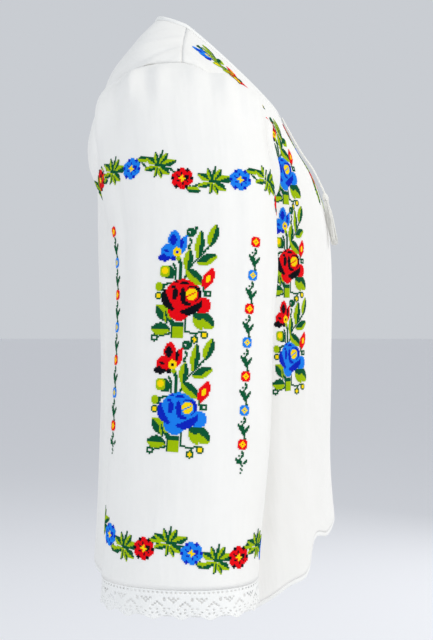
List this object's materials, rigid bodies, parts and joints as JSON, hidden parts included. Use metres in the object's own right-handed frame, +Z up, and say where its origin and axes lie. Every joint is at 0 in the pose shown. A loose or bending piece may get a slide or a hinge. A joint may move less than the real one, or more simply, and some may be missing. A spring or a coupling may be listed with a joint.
{
  "type": "embroidered peasant blouse",
  "caption": "Long-sleeved white cotton blouse in a worn, filled-out form, with cross-stitched flowers, scalloped lace cuffs and a tied front slit.",
  "frame": {"origin": "inside the neck opening, midway between the two places where the shoulder seams meet the neck band and at their height, where the wearer's shoulders carry the garment", "axes": "+Z up; the front of the garment faces -Y; the wearer's right is -X"},
  "size_m": [0.6842, 0.2908, 0.682],
  "materials": {
    "cotton": "matte plain-woven cotton",
    "trim": "matte crocheted cotton edging",
    "lace": "matte cotton lace",
    "cord": "twisted cotton cord"
  },
  "bodies": {
    "root": {"front_panel": "cotton", "back_panel": "cotton", "sleeve_right": "cotton", "sleeve_left": "cotton", "neck_band": "trim", "hem_edging_front": "trim", "hem_edging_back": "trim", "cuff_lace_right": "lace", "cuff_lace_left": "lace", "tie_cord_right": "cord", "tie_cord_left": "cord", "tassel_right": "cord", "tassel_left": "cord"}
  },
  "joints": []
}
